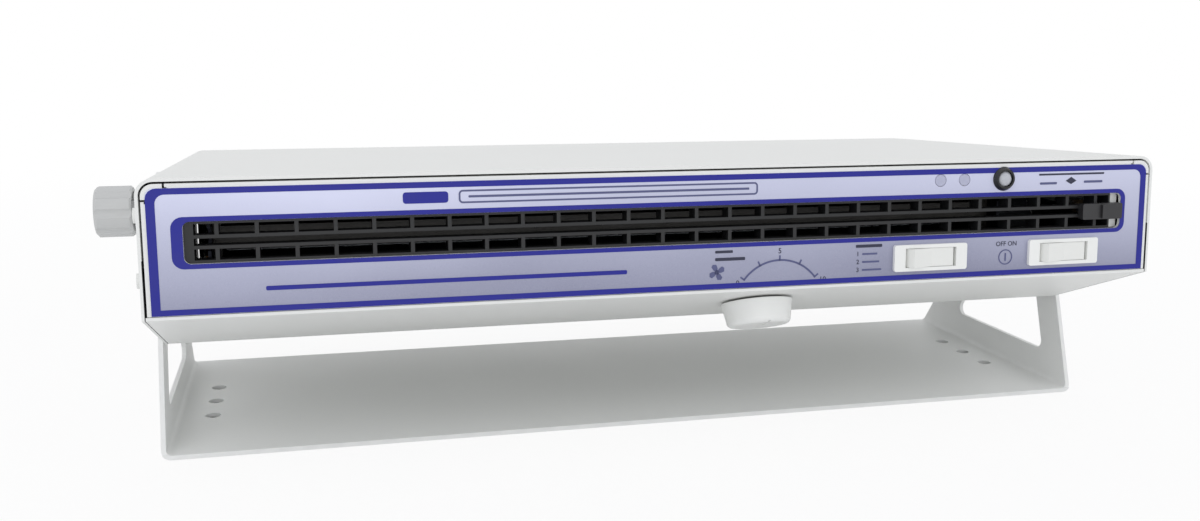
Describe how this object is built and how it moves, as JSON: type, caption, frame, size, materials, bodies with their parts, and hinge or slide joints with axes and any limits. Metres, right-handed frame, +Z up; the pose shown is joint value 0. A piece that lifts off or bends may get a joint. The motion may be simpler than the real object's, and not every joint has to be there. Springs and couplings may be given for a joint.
{
  "type": "ionizing air blower",
  "caption": "Bench ionizing air blower: flat housing with a full-width grille slot, speed knob, rocker switches and point cleaner, tilting on a U-shaped stand held by clamp knobs.",
  "frame": {"origin": "centre of the underside of the stand's base plate", "axes": "+X along the outlet slot, to the right seen from the front; -Y is the front; +Z up"},
  "size_m": [0.4878, 0.2445, 0.1252],
  "materials": {
    "grey_powder_coat": "fine powder coat",
    "white_powder_coat": "fine powder coat",
    "silver_label": "satin printed film",
    "black_abs": "moulded",
    "white_abs": "moulded",
    "grey_abs": "moulded",
    "filter_foam": "open-cell foam",
    "zinc_steel": "zinc plated",
    "aluminium": "bare",
    "bronze": "sintered",
    "motor_steel": "painted",
    "insulator": "moulded",
    "tungsten": "ground",
    "potting": "moulded",
    "circuit_board": "solder mask",
    "components": "moulded",
    "brass_nickel": "plated",
    "led_epoxy": "diffused",
    "lens_clear": "clear",
    "brush_hair": "bristle"
  },
  "bodies": {
    "stand": {"stand_bracket": "grey_powder_coat"},
    "housing": {"chassis": "grey_powder_coat", "top_cover": "white_powder_coat", "front_panel": "white_powder_coat", "front_label": "silver_label", "outlet_grille": "black_abs", "grille_end_piece": "white_abs", "rear_panel": "white_powder_coat", "intake_filter": "filter_foam", "filter_retainer": "white_powder_coat", "fan_end_plate_left": "zinc_steel", "fan_end_plate_right": "zinc_steel", "fan_scroll": "zinc_steel", "fan_tongue": "zinc_steel", "fan_bearing": "bronze", "fan_motor": "motor_steel", "motor_screws": "zinc_steel", "emitter_bar": "insulator", "emitter_needles": "tungsten", "high_voltage_supply": "potting", "control_board": "circuit_board", "board_components": "components", "board_standoffs": "brass_nickel", "status_light_board": "circuit_board", "status_lights": "led_epoxy", "pilot_lamp_bezel": "black_abs", "pilot_lamp_lens": "lens_clear", "mode_switch_body": "white_abs", "power_switch_body": "white_abs", "speed_potentiometer": "zinc_steel", "potentiometer_nut": "zinc_steel", "power_inlet": "black_abs", "fuse_holder": "black_abs", "ground_terminal": "brass_nickel", "pivot_inserts": "zinc_steel", "spacer_washers": "black_abs", "cover_screws": "zinc_steel", "rear_screws": "zinc_steel"},
    "clamp_left": {"clamp_knob_left": "grey_abs", "clamp_stud_left": "zinc_steel", "clamp_washer_left": "zinc_steel"},
    "clamp_right": {"clamp_knob_right": "grey_abs", "clamp_stud_right": "zinc_steel", "clamp_washer_right": "zinc_steel"},
    "speed_control": {"speed_knob": "white_abs", "speed_shaft": "zinc_steel"},
    "mode_rocker": {"mode_rocker": "white_abs"},
    "power_rocker": {"power_rocker": "white_abs"},
    "cleaner": {"cleaner_carriage": "black_abs", "cleaner_brush": "brush_hair"},
    "fan": {"fan_rotor": "aluminium", "fan_shafts": "zinc_steel"}
  },
  "joints": [
    {"name": "tilt", "type": "hinge", "parent": "stand", "child": "housing", "pos_m": [0, -0.023, 0.099], "axis": [1, 0, 0], "range_deg": [-15, 30]},
    {"name": "clamp_left_turn", "type": "hinge", "parent": "housing", "child": "clamp_left", "pos_m": [-0.235, -0.023, 0.099], "axis": [-1, 0, 0], "range_deg": [0, 360]},
    {"name": "clamp_right_turn", "type": "hinge", "parent": "housing", "child": "clamp_right", "pos_m": [0.235, -0.023, 0.099], "axis": [1, 0, 0], "range_deg": [0, 360]},
    {"name": "speed_turn", "type": "hinge", "parent": "housing", "child": "speed_control", "pos_m": [0.036, -0.0986, 0.06275], "axis": [0, -0.3703, -0.9289], "range_deg": [-135, 135]},
    {"name": "mode_rock", "type": "hinge", "parent": "housing", "child": "mode_rocker", "pos_m": [0.105, -0.12004, 0.08376], "axis": [0, 0.0576, 0.9983], "range_deg": [-16, 0]},
    {"name": "power_rock", "type": "hinge", "parent": "housing", "child": "power_rocker", "pos_m": [0.17, -0.12004, 0.08376], "axis": [0, 0.0576, 0.9983], "range_deg": [-16, 0]},
    {"name": "cleaner_slide", "type": "slide", "parent": "housing", "child": "cleaner", "axis": [1, 0, 0], "range_m": [-0.376, 0]},
    {"name": "fan_spin", "type": "hinge", "parent": "housing", "child": "fan", "pos_m": [0, -0.05797, 0.08319], "axis": [1, 0, 0], "continuous": true}
  ]
}
